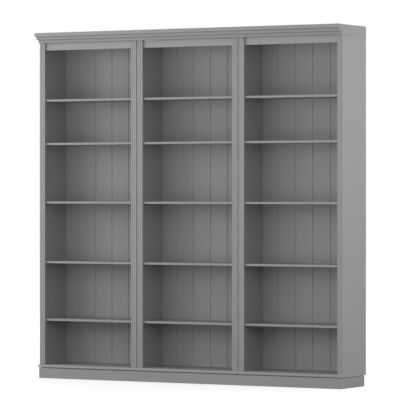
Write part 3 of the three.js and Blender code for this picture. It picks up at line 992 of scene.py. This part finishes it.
def make_header():
    """The header, screwed down to the two fixed bays and never over the leaf."""
    node = "header_board"
    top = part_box(node)[1].z
    places = []
    for bay in FIXED_BAYS:
        low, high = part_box(f"{bay}_top_board")
        middle = (low.x + high.x) / 2
        across = (low.x + HEADER_SCREW_INSET, middle, high.x - HEADER_SCREW_INSET)
        deep = (low.y + HEADER_SCREW_INSET, high.y - HEADER_SCREW_REAR_INSET)
        places += spots(across, deep, (top,))
    screwed_piece(node, paint_level, "painted", FINE_EASE, places, Z, BOARD_SCREW)


def make_plinth_back():
    """The plinth's rear board, screwed into the ends of the two joists."""
    node = "plinth_back"
    low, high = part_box(node)
    heights = (low.z + JOIST_SCREW_INSET, high.z - JOIST_SCREW_INSET)
    places = []
    for joist in ("joist_left", "joist_right"):
        start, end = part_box(joist)
        places += spots(((start.x + end.x) / 2,), (high.y,), heights)
    screwed_piece(node, paint_level, "painted", BOARD_EASE, places, Y, BOARD_SCREW)


# Nails, blocks and fillet

def make_nails(bay):
    """Round heads that hold each plank of a back to the rear edge of each shelf."""
    node = f"{bay}_back_boards"
    far_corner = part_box(node)[1]
    bm = new_work()
    for number in SHELVES:
        low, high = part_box(f"{bay}_shelf_{number}")
        at = first_joint(bay) - PLANK / 2
        while at < far_corner.x - NARROWEST_PLANK:
            known = set(bm.verts)
            bmesh.ops.create_cone(bm, cap_ends=True, segments=NAIL_SIDES, radius1=NAIL_HEAD,
                                  radius2=NAIL_HEAD * NAIL_CROWN, depth=NAIL_PROUD * 2)
            across = tones.uniform(-NAIL_STRAY_ACROSS, NAIL_STRAY_ACROSS)
            up = tones.uniform(-NAIL_STRAY_UP, NAIL_STRAY_UP)
            place = Vector((at, far_corner.y, (low.z + high.z) / 2))
            set_down(bm, fresh_verts(bm, known), place + Vector((across, 0, up)) * MM, Y)
            at += PLANK
    add_piece(f"nails_{node}", bm, body_of(node), [zinc_steel])


def glue_block(bm, corner, along, length, legs):
    """A block of triangular section, by its square corner and its two sides from there."""
    known = set(bm.faces)
    section = Section(bm, along, corner)
    section.line(corner + legs[0], corner + legs[1])
    section.run(length)
    give_tone(bm, [face for face in bm.faces if face not in known], BLOCK_TONE)


def make_glue_blocks():
    """Blocks on top of the header that stiffen the cornice from inside."""
    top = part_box("header_board")[1].z
    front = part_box("cornice_moulding")[1].y
    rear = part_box("cornice_back")[0].y
    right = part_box("cornice_side_right")[0].x
    in_rows = new_work()
    for index in range(BLOCKS_IN_A_ROW):
        middle = (index + 0.5 - BLOCKS_IN_A_ROW / 2) * BLOCK_SPACING
        left = middle - BLOCK_LENGTH / 2
        for y, inward in ((front, Y), (rear, -Y)):
            glue_block(in_rows, Vector((left, y, top)), X, BLOCK_LENGTH,
                       (inward * BLOCK_LEG, Z * BLOCK_LEG))
    upright = new_work()
    for side in (-1, 1):
        for y, inward in ((front, Y), (rear, -Y)):
            glue_block(upright, Vector((side * right, y, top)), Z, BLOCK_HEIGHT,
                       (X * -side * BLOCK_LEG, inward * BLOCK_LEG))
    for name, bm, finish in (("long", in_rows, pine_level), ("corner", upright, pine_upright)):
        bmesh.ops.recalc_face_normals(bm, faces=bm.faces)
        ease(bm, corners(bm), FINE_EASE)
        add_piece(f"glue_blocks_{name}", bm, body_of("header_board"), [finish])


def make_head_fillet():
    """A thin fillet on top of the leaf, planed to clear the cornice and the pivot's plate."""
    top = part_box("cornice_moulding")[0].z - HEAD_FILLET_CLEARANCE
    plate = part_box("upper_pivot_pin")
    at_plate = (plate[0].x - HEAD_FILLET_GAP, plate[1].x + HEAD_FILLET_GAP)
    bm = new_work()
    for node, stops in (("door_stile_left", ()), ("door_frieze_rail", at_plate),
                        ("door_stile_right", ())):
        low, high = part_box(node)
        front = low.y + HEAD_FILLET_SET_BACK
        rear = min(high.y, low.y + HEAD_FILLET_DEPTH)
        ends = (low.x, *stops, high.x)
        for left, right in zip(ends[::2], ends[1::2]):
            section = Section(bm, X, (left, front, high.z))
            section.line((left, rear, high.z), (left, rear, top), (left, front, top))
            section.run(right - left)
    bmesh.ops.recalc_face_normals(bm, faces=bm.faces)
    add_piece("head_fillet", bm, body_of("door_frieze_rail"), [paint_level])


# Room, light and camera

def seen_directly(tree):
    """1 for what the camera sees, also in gloss and through glass, and 0 for the rest."""
    rays = tree.nodes.new("ShaderNodeLightPath")
    seen = rays.outputs["Is Camera Ray"]
    for kind in ("Is Glossy Ray", "Is Transmission Ray"):
        larger = tree.nodes.new("ShaderNodeMath")
        larger.operation = "MAXIMUM"
        tree.links.new(seen, larger.inputs[0])
        tree.links.new(rays.outputs[kind], larger.inputs[1])
        seen = larger.outputs["Value"]
    return seen


def make_floor():
    """A pale floor that the camera sees as white, apart from the shadow on it."""
    bm = bmesh.new()
    bmesh.ops.create_grid(bm, x_segments=1, y_segments=1, size=FLOOR_SIZE)
    floor = linked("floor", bm)
    finish = Finish("pale floor", roughness=0.9)
    finish.shader.inputs["Specular IOR Level"].default_value = 0.0
    tree = finish.tree
    seen = seen_directly(tree)
    finish.colour(finish.mixed(seen, opaque(FLOOR_BOUNCE), opaque(FLOOR_COLOUR)))
    away = finish.length(finish.place)
    glow = finish.spread(away, FLOOR_GLOW_NEAR, FLOOR_GLOW_FAR, FLOOR_NEAR, FLOOR_FAR)
    shine = tree.nodes.new("ShaderNodeEmission")
    tree.links.new(finish.math("MULTIPLY", glow, seen), shine.inputs["Strength"])
    both = tree.nodes.new("ShaderNodeAddShader")
    tree.links.new(finish.shader.outputs["BSDF"], both.inputs[0])
    tree.links.new(shine.outputs["Emission"], both.inputs[1])
    tree.links.new(both.outputs["Shader"], finish.output.inputs["Surface"])
    floor.data.materials.append(finish.material)


def make_room():
    """Even light from all round; the camera itself sees white behind the case."""
    world = bpy.data.worlds.new("studio")
    world.use_nodes = True
    tree = world.node_tree
    tree.nodes.clear()
    either = tree.nodes.new("ShaderNodeMixShader")
    tree.links.new(seen_directly(tree), either.inputs["Fac"])
    for socket, strength in ((either.inputs[1], ROOM_LIGHT), (either.inputs[2], 1.0)):
        light = tree.nodes.new("ShaderNodeBackground")
        light.inputs["Color"].default_value = (1, 1, 1, 1)
        light.inputs["Strength"].default_value = strength
        tree.links.new(light.outputs["Background"], socket)
    output = tree.nodes.new("ShaderNodeOutputWorld")
    tree.links.new(either.outputs["Shader"], output.inputs["Surface"])
    bpy.context.scene.world = world


def make_lamps():
    for name, place, aim, across, up, watts in LAMPS:
        lamp = bpy.data.lights.new(name, "AREA")
        lamp.shape = "RECTANGLE"
        lamp.size = across
        lamp.size_y = up
        lamp.energy = watts
        holder = bpy.data.objects.new(name, lamp)
        holder.location = place
        way = Vector(aim) - Vector(place)
        holder.rotation_euler = way.to_track_quat("-Z", "Y").to_euler()
        holder.visible_camera = False
        bpy.context.scene.collection.objects.link(holder)


def make_camera():
    data = bpy.data.cameras.new("camera")
    data.sensor_width = CAMERA_SENSOR
    data.lens = CAMERA_LENS
    data.clip_end = CAMERA_REACH
    camera = bpy.data.objects.new("camera", data)
    camera.location = CAMERA_PLACE
    camera.rotation_euler = (math.radians(90 - CAMERA_DIP), 0, math.radians(CAMERA_TURN))
    bpy.context.scene.collection.objects.link(camera)
    bpy.context.scene.camera = camera


# The bookcase, then the room that it stands in

for bay in BAYS:
    make_bay(bay)
make_plinth()
make_cornice_boards()
make_cornice_moulding()
make_pivots()
make_catch()
make_buffers()
make_header()
make_plinth_back()
for bay in BAYS:
    make_nails(bay)
make_glue_blocks()
make_head_fillet()

bpy.context.scene.view_settings.view_transform = "Standard"
make_floor()
make_room()
make_lamps()
make_camera()
